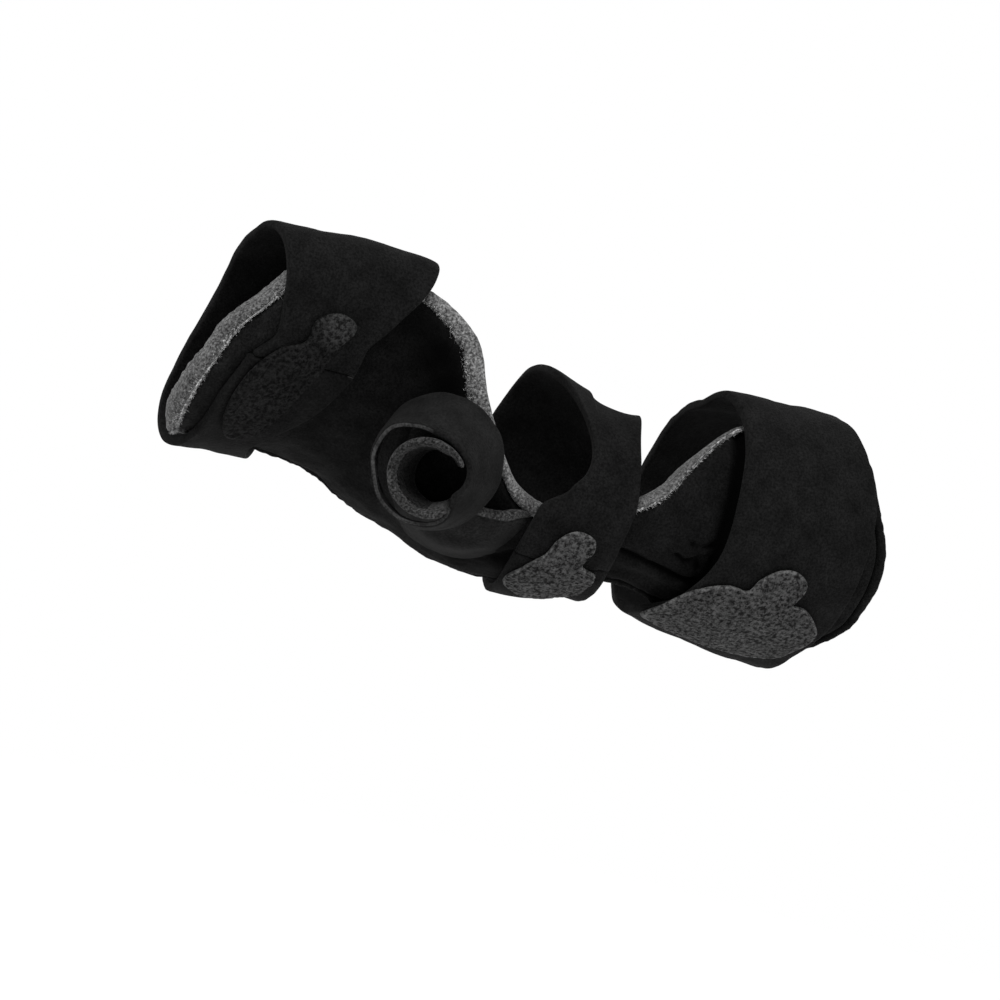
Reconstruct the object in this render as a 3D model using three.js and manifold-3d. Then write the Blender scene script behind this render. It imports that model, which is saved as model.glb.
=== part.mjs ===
// Palm and thumb splint for a right hand, held up in the pose in which it is worn.
// All shapes are worked out in the limb's frame: x runs to the elbow, y to the little finger's side
// and z to the back of the hand, with the origin in the middle of the wrist, in millimetres.
// The whole splint is then turned about x, so that the palm looks forward and down.
import * as THREE from 'three';
import { ParametricGeometry } from 'three/addons/geometries/ParametricGeometry.js';
import { mergeVertices } from 'three/addons/utils/BufferGeometryUtils.js';
import Module from 'manifold-3d';

const wasm = await Module();
wasm.setup();

// Reach of the trough from the wrist
const handLength = 177;
const forearmLength = 104;
const handRise = 37;

// Trough, measured inside at the elbow end
const troughHalfWidth = 45;
const troughDepth = 41;
const liningThickness = 4.2;
const coverThickness = 4.5;
const rimWidth = 3.4;
const rimStep = 0.4;
const layerGap = 0.4;

// Straps and their grip tabs
const strapThickness = 3.6;
const strapClearance = 0.5;
const strapSlack = 10;
const tabThickness = 1.8;
const tabClearance = 0.8;

// Thumb channel and its ring of strap
const thumbReach = 46;
const thumbRadius = 15;
const thumbCoverThickness = 2;
const thumbLiningThickness = 2.3;
const thumbLipLength = 2.2;
const seatSink = 3;
const ringThickness = 2.2;
const ringTipRadius = 18.2;
const ringPalmRadius = 25.4;
const ringSetback = 2.7;
const ringLength = 29.5;
const ringShift = 4.4;
const ringShiftBearing = 210;
const ringTilt = 0.35;

const palmTurn = 60;

const padThickness = liningThickness + layerGap + coverThickness;

// Sections of the trough. place: share of the hand's reach (negative) or the forearm's (positive).
// rise: share of the hand's rise. side and half: shares of the half width. depth and lift: shares of
// the depth, lift moving the section to the back of the hand. thumb and little: degrees that the
// trough wraps round from the middle of the palm to the thumb's and the little finger's side.
const sections = table('place rise side half depth lift thumb little', [
  [-1.00, 0.98, 0.26, 0.89, 0.50, 0.22, 58, 62],
  [-0.95, 0.98, 0.27, 0.89, 0.50, 0.23, 66, 70],
  [-0.85, 1.00, 0.28, 0.89, 0.51, 0.24, 74, 74],
  [-0.65, 1.00, 0.24, 0.94, 0.58, 0.29, 69, 76],
  [-0.50, 0.92, 0.17, 0.98, 0.70, 0.29, 54, 78],
  [-0.37, 0.70, 0.05, 1.03, 0.85, 0.29, 31, 80],
  [-0.23, 0.46, -0.04, 1.03, 0.96, 0.20, 12, 76],
  [-0.11, 0.22, -0.05, 0.90, 0.92, 0.10, 8, 52],
  [0.00, 0.03, 0.00, 0.73, 0.74, 0.02, 23, 30],
  [0.14, 0.00, 0.00, 0.76, 0.71, 0.00, 52, 31],
  [0.38, 0.00, 0.00, 0.87, 0.82, 0.00, 80, 46],
  [0.72, 0.00, 0.00, 0.96, 0.95, 0.00, 82, 84],
  [1.00, 0.00, 0.00, 1.00, 1.00, 0.00, 72, 88],
]);

// How far short of full reach each end stops, as a share of that reach, by turn round the section.
const panEnd = table('turn short', [
  [-80, 0.05], [-60, 0.02], [-35, -0.005], [-15, -0.01], [5, 0.005],
  [27, 0.04], [45, 0.10], [63, 0.145], [80, 0.16],
]);
const elbowEnd = table('turn short', [
  [-90, 0.10], [-30, 0.00], [-8, -0.06], [24, -0.05], [47, 0.02], [90, 0.10],
]);

// Lining's rim on the thumb's side, where it turns over wider beside the palm. grow: its width as a
// share of the rim's width. reach: how far the trough's edge stands out there, in millimetres.
const webRows = table('place grow reach', [
  [-1.00, 1, 0],
  [-0.62, 1, 0],
  [-0.54, 1.5, 1.9],
  [-0.49, 1.95, 2.9],
  [-0.45, 2.6, 3.7],
  [-0.41, 2.9, 2.9],
  [-0.37, 2.4, 1.0],
  [-0.33, 1.8, 0],
  [-0.24, 1, 0],
  [1.00, 1, 0],
]);

// How far the thumb ring's tip end flares out of its cone, in millimetres, by bearing.
const flareRows = table('bearing out', [
  [0, 0], [85, 0], [120, 2.6], [150, 5.2], [175, 4.8], [201, 3.5], [235, 3.2], [265, 2.4], [300, 0.8],
  [335, 0], [360, 0],
]);

// Straps, by turn round the limb: places of the two edges, and how far each edge stands off the
// trough as a share of the slack, negative where the strap sinks in over the open back.
const fingerRows = table('turn distal proximal slackDistal slackProximal', [
  [14, -0.915, -0.67, 0.05, 0.05],
  [25, -0.875, -0.67, 0.05, 0.05],
  [40, -0.880, -0.63, 0.05, 0.05],
  [60, -0.885, -0.575, 0.05, 0.05],
  [76, -0.893, -0.555, 0.02, -0.05],
  [90, -0.900, -0.55, -0.35, -0.60],
  [105, -0.905, -0.545, -0.95, -1.10],
  [140, -0.905, -0.545, -1.50, -1.90],
  [180, -0.915, -0.55, -2.00, -2.60],
  [230, -0.940, -0.57, -1.40, -1.80],
  [270, -0.950, -0.66, 0.00, 0.00],
  [290, -0.945, -0.73, 0.05, 0.05],
  [313, -0.945, -0.78, 0.05, 0.05],
  [327, -0.945, -0.76, 0.05, 0.05],
  [345, -0.945, -0.71, 0.05, 0.05],
  [371, -0.925, -0.67, 0.05, 0.05],
]);
const wristRows = table('turn distal proximal slackDistal slackProximal', [
  [-12, -0.145, 0.025, 0.05, 0.05],
  [10, -0.145, 0.02, 0.05, 0.05],
  [25, -0.100, 0.02, 0.00, 0.00],
  [40, -0.060, 0.015, -0.30, -0.30],
  [55, -0.068, 0.01, -0.40, -0.50],
  [64, -0.130, 0.00, -0.50, -0.60],
  [78, -0.200, 0.00, -1.30, -0.50],
  [100, -0.225, 0.03, -2.15, -0.90],
  [140, -0.235, 0.08, -2.50, -2.10],
  [180, -0.235, 0.11, -2.80, -1.75],
  [230, -0.190, 0.12, -1.50, -1.10],
  [270, -0.130, 0.10, 0.00, 0.00],
  [290, -0.130, 0.06, 0.05, 0.05],
  [346, -0.145, 0.025, 0.05, 0.05],
]);
const forearmRows = table('turn distal proximal slackDistal slackProximal', [
  [-18, 0.27, 0.925, 0.35, 0.05],
  [10, 0.32, 0.935, 0.45, 0.05],
  [40, 0.325, 0.935, 0.45, 0.05],
  [66, 0.345, 0.90, 0.45, 0.05],
  [80, 0.35, 0.88, 0.42, 0.02],
  [95, 0.35, 0.88, 0.25, -0.45],
  [125, 0.37, 0.96, -0.72, -1.08],
  [180, 0.43, 1.00, -0.50, -0.80],
  [235, 0.40, 1.00, -0.20, -0.30],
  [270, 0.30, 0.98, -0.30, 0.38],
  [290, 0.245, 0.96, -0.28, 0.48],
  [305, 0.228, 0.94, -0.08, 0.34],
  [318, 0.213, 0.93, 0.07, 0.15],
  [325, 0.214, 0.92, 0.18, 0.10],
  [340, 0.262, 0.925, 0.35, 0.05],
]);

// Outlines of the grip tabs on their straps: a long body with one or two round lobes.
const fingerTabRows = table('place turn', [
  [-0.93, -8], [-0.915, 8], [-0.872, 19], [-0.815, 25], [-0.808, 36], [-0.767, 41.5], [-0.722, 38],
  [-0.722, 32], [-0.752, 27], [-0.748, 19], [-0.758, 9], [-0.775, -3], [-0.79, -16], [-0.82, -32],
  [-0.88, -38], [-0.92, -26],
]);
const wristTabRows = table('place turn', [
  [-0.135, -30], [-0.12, -17], [-0.095, -5], [-0.083, 4], [-0.056, 11], [-0.031, 9], [-0.024, 2],
  [-0.031, -7], [-0.012, -13], [0.012, -18], [0.008, -27], [-0.02, -34], [-0.09, -37],
]);
const forearmTabRows = table('place turn', [
  [0.19, -31], [0.23, -13], [0.30, -3], [0.385, 2], [0.47, 2], [0.495, 8], [0.555, 13.5],
  [0.625, 15], [0.69, 11.5], [0.70, 6], [0.685, 0], [0.75, -1], [0.83, -7], [0.878, -14],
  [0.86, -25], [0.80, -36], [0.60, -42], [0.35, -42], [0.22, -38],
]);
const tabHubs = { finger: [-0.80, 4], wrist: [-0.05, -16], forearm: [0.60, -11] };

// Thumb channel. reach: share of the way from the palm to the tip's rim. back, elbow and side: middle
// of the channel behind the tip's rim, towards the elbow and at right angles to both, as shares of the
// thumb's reach. radius: share of the thumb's radius. open and shut: bearings of the wall's two edges.
const channelRows = table('reach back elbow side radius open shut', [
  [0.35, 0.94, 0.09, -0.30, 1.58, 100, 360],
  [0.60, 0.64, 0.00, -0.15, 1.06, 75, 335],
  [0.78, 0.38, -0.02, -0.08, 1.00, 55, 326],
  [1.00, 0.00, 0.00, 0.00, 1.00, 40, 322],
]);
// Where the foot of the channel is sewn to the palm, by bearing round the channel.
const seatRows = table('bearing place turn', [
  [120, -0.458, 15], [150, -0.475, -2], [180, -0.43, -22], [210, -0.36, -42], [240, -0.285, -56],
  [265, -0.225, -46], [290, -0.178, -30], [320, -0.157, -16], [340, -0.147, -5], [368, -0.146, 6],
]);
const footOpen = 130;
const footShut = 368;
// The middle of the channel's tip rim, as shares of the hand's reach, and the way the thumb points.
const tipCentre = new THREE.Vector3(-0.580, -0.107, -0.232).multiplyScalar(handLength);
const thumbAxis = new THREE.Vector3(-0.67, -0.17, -0.72).normalize();

// Trimming of the trough's two ends, which fades out over this share of its length.
const endFade = 0.3;
// The room that the padded palm takes up, by place, by turn and by distance inside the trough.
const palmRoomSpan = { from: -0.6, to: -0.02, little: -100, thumb: 75, inside: 14, facets: 24 };
const centreStep = 0.01;
const mergeDistance = 0.001;

// Numbers of facets
const troughRows = 32;
const troughColumns = 16;
const strapTurns = 46;
const strapColumns = 4;
const channelTurns = 18;
const channelReaches = [0, 0.18, 0.35, 0.47, 0.6, 0.78];
const ringTurns = 32;
const tabTurns = 28;
const tabRings = 4;

/** Rows of named columns. */
function table(names, rows) {
  const keys = names.split(' ');
  return rows.map((row) => Object.fromEntries(keys.map((key, i) => [key, row[i]])));
}

/** Smooth curve through one column of a table, read against its first column. */
function smooth(rows, key, x) {
  const at = Object.keys(rows[0])[0];
  const last = rows.length - 1;
  const clamped = THREE.MathUtils.clamp(x, rows[0][at], rows[last][at]);
  let i = 0;
  while (i < last - 1 && clamped >= rows[i + 1][at]) i += 1;
  const slope = (j) => (rows[j + 1][key] - rows[j][key]) / (rows[j + 1][at] - rows[j][at]);
  const tangent = (j) => {
    if (j === 0) return slope(0);
    if (j === last) return slope(last - 1);
    return slope(j - 1) * slope(j) <= 0 ? 0 : (slope(j - 1) + slope(j)) / 2;
  };
  const step = rows[i + 1][at] - rows[i][at];
  const t = (clamped - rows[i][at]) / step;
  const start = (2 * t - 3) * t * t + 1;
  const bend = ((t - 2) * t + 1) * t * step * tangent(i) + (t - 1) * t * t * step * tangent(i + 1);
  return start * rows[i][key] + (1 - start) * rows[i + 1][key] + bend;
}

/** Middle of the limb at a place. */
function limbCentre(place) {
  const side = troughHalfWidth * smooth(sections, 'side', place);
  const rise = handRise * smooth(sections, 'rise', place);
  return new THREE.Vector3(place * (place < 0 ? handLength : forearmLength), -side, rise);
}

/** Point of the trough's section at a place and turn, a distance outside its inner face. */
function troughPoint(place, turn, outside) {
  const ahead = limbCentre(place + centreStep);
  const along = ahead.sub(limbCentre(place - centreStep)).normalize();
  const thumbward = along.clone().cross(new THREE.Vector3(0, 0, 1)).normalize();
  const palmward = along.clone().cross(thumbward);
  const half = troughHalfWidth * smooth(sections, 'half', place);
  const depth = troughDepth * smooth(sections, 'depth', place);
  const lift = troughDepth * smooth(sections, 'lift', place);
  const angle = THREE.MathUtils.degToRad(turn);
  const normal = new THREE.Vector2(Math.sin(angle) / half, Math.cos(angle) / depth).normalize();
  const across = half * Math.sin(angle) + outside * normal.x;
  const down = depth * Math.cos(angle) + outside * normal.y - lift;
  return limbCentre(place).addScaledVector(thumbward, across).addScaledVector(palmward, down);
}

/** Grid lines from 0 to 1. edge lists the insets of the lines that follow each edge. */
function gridLines(count, edge) {
  const lines = edge.map((line) => ({ share: 0, ...line }));
  for (let i = 1; i < count; i += 1) {
    const share = i / count;
    lines.push({ share, inset: (rimWidth + rimStep) * (1 - 2 * share), rim: false });
  }
  [...edge].reverse().forEach((line) => {
    lines.push({ share: 1, inset: -line.inset, rim: line.rim });
  });
  return lines;
}

/** Point on a grid line of the trough's length and one across it, a distance outside the lining. */
function troughGridPoint(row, column, outside) {
  const place = 2 * row.share - 1;
  const from = -smooth(sections, 'little', place);
  const to = smooth(sections, 'thumb', place);
  const lineTurn = THREE.MathUtils.lerp(from, to, column.share);
  const lineAngle = THREE.MathUtils.degToRad(lineTurn);
  const half = troughHalfWidth * smooth(sections, 'half', place) * Math.cos(lineAngle);
  const depth = troughDepth * smooth(sections, 'depth', place) * Math.sin(lineAngle);
  const radius = Math.hypot(half, depth) + padThickness / 2;
  const grow = column.inset < 0 ? smooth(webRows, 'grow', place) : 1;
  const shift = column.inset * grow + column.share * smooth(webRows, 'reach', place);
  const turn = lineTurn + THREE.MathUtils.radToDeg(shift / radius);
  const panFade = Math.max(0, 1 - row.share / endFade) ** 2;
  const elbowFade = Math.max(0, 1 - (1 - row.share) / endFade) ** 2;
  const reach = place < 0 ? handLength : forearmLength;
  const trimmed = place + smooth(panEnd, 'short', turn) * panFade
    - smooth(elbowEnd, 'short', turn) * elbowFade + row.inset / reach;
  return troughPoint(trimmed, turn, outside);
}

/** One closed body of a parametric skin, with shared vertices merged and faces pointing out. */
function closedBody(geometry) {
  geometry.deleteAttribute('normal');
  geometry.deleteAttribute('uv');
  const merged = mergeVertices(geometry, mergeDistance);
  const corner = merged.index.array;
  const position = merged.attributes.position;
  const kept = [];
  let volume = 0;
  for (let i = 0; i < corner.length; i += 3) {
    const [a, b, c] = [corner[i], corner[i + 1], corner[i + 2]];
    if (a === b || b === c || c === a) continue;
    kept.push(a, b, c);
    const points = [a, b, c].map((j) => new THREE.Vector3().fromBufferAttribute(position, j));
    volume += points[0].dot(points[1].cross(points[2]));
  }
  if (volume < 0) kept.reverse();
  merged.setIndex(kept);
  merged.computeVertexNormals();
  return merged;
}

/** Sheet with thickness. point takes a row, a column and a side: 1 outside, 0 middle, -1 inside. */
function sheetBody(rows, columns, point) {
  const inside = [...columns].reverse().map((column) => [column, -1]);
  const loop = [...columns.map((column) => [column, 1]), ...inside];
  const stacks = rows.length + 1;
  const skin = (u, v, target) => {
    const stack = Math.round(v * stacks);
    const [column, side] = loop[Math.round(u * loop.length) % loop.length];
    const row = rows[THREE.MathUtils.clamp(stack - 1, 0, rows.length - 1)];
    const atEnd = stack === 0 || stack === stacks;
    target.copy(point(row, column, atEnd ? 0 : side));
  };
  return closedBody(new ParametricGeometry(skin, loop.length, stacks));
}

/** Body swept once round from a profile. point takes a share of the way round and a profile item. */
function roundBody(turns, profile, closedProfile, point) {
  const slices = closedProfile ? profile.length : profile.length - 1;
  const skin = (u, v, target) => {
    const item = profile[Math.round(u * slices) % profile.length];
    target.copy(point((Math.round(v * turns) % turns) / turns, item));
  };
  return closedBody(new ParametricGeometry(skin, slices, turns));
}

function evenShares(count) {
  return Array.from({ length: count + 1 }, (_, i) => i / count);
}

function splintBody() {
  const inset = rimWidth + rimStep + layerGap;
  const point = (row, column, side) => {
    const middle = padThickness - coverThickness / 2;
    return troughGridPoint(row, column, middle + side * coverThickness / 2);
  };
  const edge = [{ inset, rim: false }];
  return sheetBody(gridLines(troughRows, edge), gridLines(troughColumns, edge), point);
}

function bodyLining() {
  const edge = [
    { inset: 0, rim: true },
    { inset: rimWidth, rim: true },
    { inset: rimWidth + rimStep, rim: false },
  ];
  const point = (row, column, side) => {
    const thickness = row.rim || column.rim ? padThickness : liningThickness;
    return troughGridPoint(row, column, thickness * (side + 1) / 2);
  };
  return sheetBody(gridLines(troughRows, edge), gridLines(troughColumns, edge), point);
}

/** Distance that a strap's inner face stands outside the lining's inner face. */
function strapStand(rows, place, turn) {
  const round = turn < rows[0].turn ? turn + 360 : turn;
  const distal = smooth(rows, 'distal', round);
  const proximal = smooth(rows, 'proximal', round);
  const share = THREE.MathUtils.clamp((place - distal) / (proximal - distal), 0, 1);
  const slackDistal = smooth(rows, 'slackDistal', round);
  const slackProximal = smooth(rows, 'slackProximal', round);
  const slack = strapSlack * THREE.MathUtils.lerp(slackDistal, slackProximal, share);
  return padThickness + strapClearance + slack;
}

function strapBody(rows) {
  const first = rows[0].turn;
  const last = rows[rows.length - 1].turn;
  const point = (turnShare, edgeShare, side) => {
    const turn = THREE.MathUtils.lerp(first, last, turnShare);
    const distal = smooth(rows, 'distal', turn);
    const proximal = smooth(rows, 'proximal', turn);
    const place = THREE.MathUtils.lerp(distal, proximal, edgeShare);
    const stand = strapStand(rows, place, turn);
    return troughPoint(place, turn, stand + strapThickness * (side + 1) / 2);
  };
  return sheetBody(evenShares(strapTurns), evenShares(strapColumns), point);
}

/** Grip tab that lies on a strap. */
function tabBody(outlineRows, strapRows, hubAt) {
  const reach = hubAt[0] < 0 ? handLength : forearmLength;
  const degreeLength = THREE.MathUtils.degToRad(troughHalfWidth);
  const spread = (place, turn) => new THREE.Vector3(place * reach, turn * degreeLength, 0);
  const corners = outlineRows.map((row) => spread(row.place, row.turn));
  const outline = new THREE.CatmullRomCurve3(corners, true, 'centripetal');
  const hub = spread(...hubAt);
  const rings = evenShares(tabRings);
  const profile = [
    ...rings.map((share) => ({ share, height: tabThickness })),
    ...[...rings].reverse().map((share) => ({ share, height: 0 })),
  ];
  const point = (round, { share, height }) => {
    const at = hub.clone().lerp(outline.getPointAt(round), share);
    const place = at.x / reach;
    const turn = at.y / degreeLength;
    const stand = strapStand(strapRows, place, turn) + strapThickness + tabClearance;
    return troughPoint(place, turn, stand + height);
  };
  return roundBody(tabTurns, profile, false, point);
}

/** Directions across the thumb: towards the elbow and at right angles to that. */
function thumbAcross() {
  const elbowward = new THREE.Vector3(1, 0, 0);
  elbowward.addScaledVector(thumbAxis, -elbowward.dot(thumbAxis)).normalize();
  return [elbowward, thumbAxis.clone().cross(elbowward)];
}

function pointRound(centre, radius, bearing) {
  const [elbowward, sideward] = thumbAcross();
  const angle = THREE.MathUtils.degToRad(bearing);
  return centre.clone()
    .addScaledVector(elbowward, radius * Math.cos(angle))
    .addScaledVector(sideward, radius * Math.sin(angle));
}

function channelCentre(reach) {
  const [back, elbow, side] = ['back', 'elbow', 'side'].map((key) => smooth(channelRows, key, reach));
  const [elbowward, sideward] = thumbAcross();
  return tipCentre.clone()
    .addScaledVector(thumbAxis, -back * thumbReach)
    .addScaledVector(elbowward, elbow * thumbReach)
    .addScaledVector(sideward, side * thumbReach);
}

/** Point of the thumb channel's wall, a distance inside its outer face. */
function channelPoint(reach, round, inside) {
  const firstRing = channelRows[0];
  const ends = [{ reach: 0, open: footOpen, shut: footShut }, ...channelRows];
  const open = smooth(ends, 'open', reach);
  const shut = smooth(ends, 'shut', reach);
  const bearing = THREE.MathUtils.lerp(open, shut, round);
  const ringReach = Math.max(reach, firstRing.reach);
  const radius = thumbRadius * smooth(channelRows, 'radius', ringReach) - inside;
  const onRing = pointRound(channelCentre(ringReach), radius, bearing);
  if (reach >= firstRing.reach) return onRing;
  const place = smooth(seatRows, 'place', bearing);
  const turn = smooth(seatRows, 'turn', bearing);
  const seat = troughPoint(place, turn, padThickness - seatSink);
  const inward = channelCentre(firstRing.reach).sub(seat).normalize();
  seat.addScaledVector(inward, inside);
  return seat.lerp(onRing, reach / firstRing.reach);
}

function toSolid(geometry) {
  const vertProperties = new Float32Array(geometry.attributes.position.array);
  const triVerts = new Uint32Array(geometry.index.array);
  return new wasm.Manifold(new wasm.Mesh({ numProp: 3, vertProperties, triVerts }));
}

function fromSolid(solid) {
  const mesh = solid.getMesh();
  const geometry = new THREE.BufferGeometry();
  geometry.setAttribute('position', new THREE.BufferAttribute(mesh.vertProperties, 3));
  geometry.setIndex(new THREE.BufferAttribute(mesh.triVerts, 1));
  geometry.computeVertexNormals();
  return geometry;
}

/** The room that the padded palm takes up, with the gap round it, for trimming the channel's foot. */
function palmRoom() {
  const { from, to, little, thumb, inside, facets } = palmRoomSpan;
  const point = (rowShare, columnShare, side) => {
    const place = THREE.MathUtils.lerp(from, to, rowShare);
    const turn = THREE.MathUtils.lerp(little, thumb, columnShare);
    const outside = padThickness + layerGap;
    return troughPoint(place, turn, side > 0 ? outside : side * inside);
  };
  return toSolid(sheetBody(evenShares(facets), evenShares(facets), point));
}

/** Wall of the channel between two distances inside its outer face. ends are rows at the tip. */
function channelBody(outer, inner, ends) {
  const rows = [...channelReaches.map((reach) => ({ reach, outer })), ...ends];
  const point = (row, round, side) => {
    const inside = THREE.MathUtils.lerp(inner, row.outer, (side + 1) / 2);
    return channelPoint(row.reach, round, inside);
  };
  const raw = toSolid(sheetBody(rows, evenShares(channelTurns), point));
  const pieces = raw.subtract(palmRoom()).decompose();
  pieces.sort((a, b) => b.volume() - a.volume());
  return fromSolid(pieces[0]);
}

/** Reaches at which the channel's cover ends and its lining turns out over the rim. */
function thumbEnds() {
  const lip = 1 - thumbLipLength / thumbReach;
  return { lip, cover: lip - layerGap / thumbReach };
}

function thumbCover() {
  return channelBody(0, thumbCoverThickness, [{ reach: thumbEnds().cover, outer: 0 }]);
}

function thumbLining() {
  const { lip, cover } = thumbEnds();
  const outer = thumbCoverThickness + layerGap;
  const ends = [{ reach: cover, outer }, { reach: lip, outer: 0 }, { reach: 1, outer: 0 }];
  return channelBody(outer, outer + thumbLiningThickness, ends);
}

/** Ring of strap round the thumb channel, a cone that opens towards the palm. */
function thumbRing() {
  const centre = tipCentre.clone().addScaledVector(thumbAxis, -ringSetback);
  const back = centre.clone().addScaledVector(thumbAxis, -ringLength);
  const palmCentre = pointRound(back, ringShift, ringShiftBearing);
  const profile = [
    { share: 0, inside: 0 },
    { share: 0.5, inside: 0 },
    { share: 1, inside: 0 },
    { share: 1, inside: ringThickness },
    { share: 0.5, inside: ringThickness },
    { share: 0, inside: ringThickness },
  ];
  const point = (round, { share, inside }) => {
    const bearing = 360 * round;
    const flare = (1 - share) * smooth(flareRows, 'out', bearing);
    const radius = THREE.MathUtils.lerp(ringTipRadius, ringPalmRadius, share) + flare;
    const middle = centre.clone().lerp(palmCentre, share);
    const sink = share * radius * ringTilt * Math.sin(THREE.MathUtils.degToRad(bearing));
    return pointRound(middle, radius - inside, bearing).addScaledVector(thumbAxis, -sink);
  };
  return roundBody(ringTurns, profile, true, point);
}

const black = { color: 0x1b1b1d, roughness: 0.95, metalness: 0 };
const grey = { color: 0x6c6c6e, roughness: 0.97, metalness: 0 };
const tabGrey = { color: 0x434345, roughness: 0.93, metalness: 0 };

const splint = new THREE.Group();
splint.rotation.x = -THREE.MathUtils.degToRad(palmTurn);

function addPiece(name, geometry, finish) {
  const piece = new THREE.Mesh(geometry, new THREE.MeshStandardMaterial(finish));
  piece.name = name;
  splint.add(piece);
}

addPiece('splint_body', splintBody(), black);
addPiece('body_lining', bodyLining(), grey);
addPiece('finger_strap', strapBody(fingerRows), black);
addPiece('finger_tab', tabBody(fingerTabRows, fingerRows, tabHubs.finger), tabGrey);
addPiece('wrist_strap', strapBody(wristRows), black);
addPiece('wrist_tab', tabBody(wristTabRows, wristRows, tabHubs.wrist), tabGrey);
addPiece('forearm_strap', strapBody(forearmRows), black);
addPiece('forearm_tab', tabBody(forearmTabRows, forearmRows, tabHubs.forearm), tabGrey);
addPiece('thumb_trough', thumbCover(), black);
addPiece('thumb_lining', thumbLining(), grey);
addPiece('thumb_strap', thumbRing(), black);

export default splint;
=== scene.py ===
"""Palm and thumb splint for a right hand: dressed model, camera, floor and light."""
import math

import bmesh
import bpy
import numpy as np
from mathutils import Matrix, Vector


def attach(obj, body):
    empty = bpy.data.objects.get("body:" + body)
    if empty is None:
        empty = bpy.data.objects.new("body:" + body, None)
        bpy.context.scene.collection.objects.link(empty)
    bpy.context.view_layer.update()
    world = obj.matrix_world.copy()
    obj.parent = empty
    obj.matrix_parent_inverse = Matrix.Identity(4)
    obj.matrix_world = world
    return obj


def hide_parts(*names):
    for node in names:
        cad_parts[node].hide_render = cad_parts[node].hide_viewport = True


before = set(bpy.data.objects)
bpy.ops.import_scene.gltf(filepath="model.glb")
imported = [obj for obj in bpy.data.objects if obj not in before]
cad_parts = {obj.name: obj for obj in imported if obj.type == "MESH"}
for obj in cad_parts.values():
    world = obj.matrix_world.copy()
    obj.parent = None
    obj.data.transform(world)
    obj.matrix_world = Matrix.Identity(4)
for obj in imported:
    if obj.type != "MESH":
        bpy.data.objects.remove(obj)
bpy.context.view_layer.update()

# Sizes of the splint in millimetres, as in the solids. The limb's frame has x to the elbow, y to the
# little finger's side and z to the back of the hand, with its origin in the middle of the wrist.
HAND, FOREARM, RISE = 177, 104, 37
HALF_WIDTH, DEPTH = 45, 41
LINING, COVER, GAP = 4.2, 4.5, 0.4
RIM, RIM_STEP = 3.4, 0.4
PAD = LINING + GAP + COVER
STRAP, STRAP_CLEAR, STRAP_SLACK = 3.6, 0.5, 10
TAB, TAB_CLEAR = 1.8, 0.8
THUMB_REACH, THUMB_RADIUS = 46, 15
THUMB_COVER, THUMB_LINING, THUMB_LIP = 2, 2.3, 2.2
RING_TIP, RING_PALM, RING_SETBACK, RING_THICK = 18.2, 25.4, 2.7, 2.2
RING_LENGTH, RING_SHIFT, RING_SHIFT_BEARING, RING_TILT = 29.5, 4.4, 210, 0.35
FOOT_OPEN, FOOT_SHUT = 130, 368
PALM_TURN = math.radians(-60)
TIP = np.array([-0.580, -0.107, -0.232]) * HAND
THUMB_AXIS = np.array([-0.67, -0.17, -0.72])
THUMB_AXIS /= np.linalg.norm(THUMB_AXIS)
# Trimming of the trough's ends fades out over this share of its length. The limb's direction at a
# place is taken over this much of its reach.
END_FADE, CENTRE_STEP = 0.3, 0.01
# Cells of each piece's mesh, lengthwise and across.
COVER_CELLS, LINING_CELLS, STRAP_CELLS = (260, 140), (200, 100), (260, 34)
CHANNEL_CELLS, RING_CELLS, TAB_RIM_CELLS = (62, 90), (40, 220), 220


def table(names, rows):
    return {name: np.array([row[i] for row in rows], float) for i, name in enumerate(names.split())}


# place: share of the hand's reach (negative) or the forearm's (positive). turn: degrees round the
# limb from the palm towards the thumb's side. The other columns are as in the solids.
SECTIONS = table("place rise side half depth lift thumb little", [
    [-1.00, 0.98, 0.26, 0.89, 0.50, 0.22, 58, 62], [-0.95, 0.98, 0.27, 0.89, 0.50, 0.23, 66, 70],
    [-0.85, 1.00, 0.28, 0.89, 0.51, 0.24, 74, 74], [-0.65, 1.00, 0.24, 0.94, 0.58, 0.29, 69, 76],
    [-0.50, 0.92, 0.17, 0.98, 0.70, 0.29, 54, 78], [-0.37, 0.70, 0.05, 1.03, 0.85, 0.29, 31, 80],
    [-0.23, 0.46, -0.04, 1.03, 0.96, 0.20, 12, 76], [-0.11, 0.22, -0.05, 0.90, 0.92, 0.10, 8, 52],
    [0.00, 0.03, 0.00, 0.73, 0.74, 0.02, 23, 30], [0.14, 0.00, 0.00, 0.76, 0.71, 0.00, 52, 31],
    [0.38, 0.00, 0.00, 0.87, 0.82, 0.00, 80, 46], [0.72, 0.00, 0.00, 0.96, 0.95, 0.00, 82, 84],
    [1.00, 0.00, 0.00, 1.00, 1.00, 0.00, 72, 88],
])
PAN_END = table("turn short", [
    [-80, 0.05], [-60, 0.02], [-35, -0.005], [-15, -0.01], [5, 0.005],
    [27, 0.04], [45, 0.10], [63, 0.145], [80, 0.16],
])
ELBOW_END = table("turn short", [
    [-90, 0.10], [-30, 0.00], [-8, -0.06], [24, -0.05], [47, 0.02], [90, 0.10],
])
# Lining's rim on the thumb's side, where it turns over wider beside the palm.
WEB = table("place grow reach", [
    [-1.00, 1, 0], [-0.62, 1, 0], [-0.54, 1.5, 1.9], [-0.49, 1.95, 2.9], [-0.462, 2.15, 3.6],
    [-0.453, 2.7, 3.7], [-0.41, 2.9, 2.9], [-0.37, 2.4, 1.0], [-0.33, 1.8, 0], [-0.24, 1, 0],
    [1.00, 1, 0],
])
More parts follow.
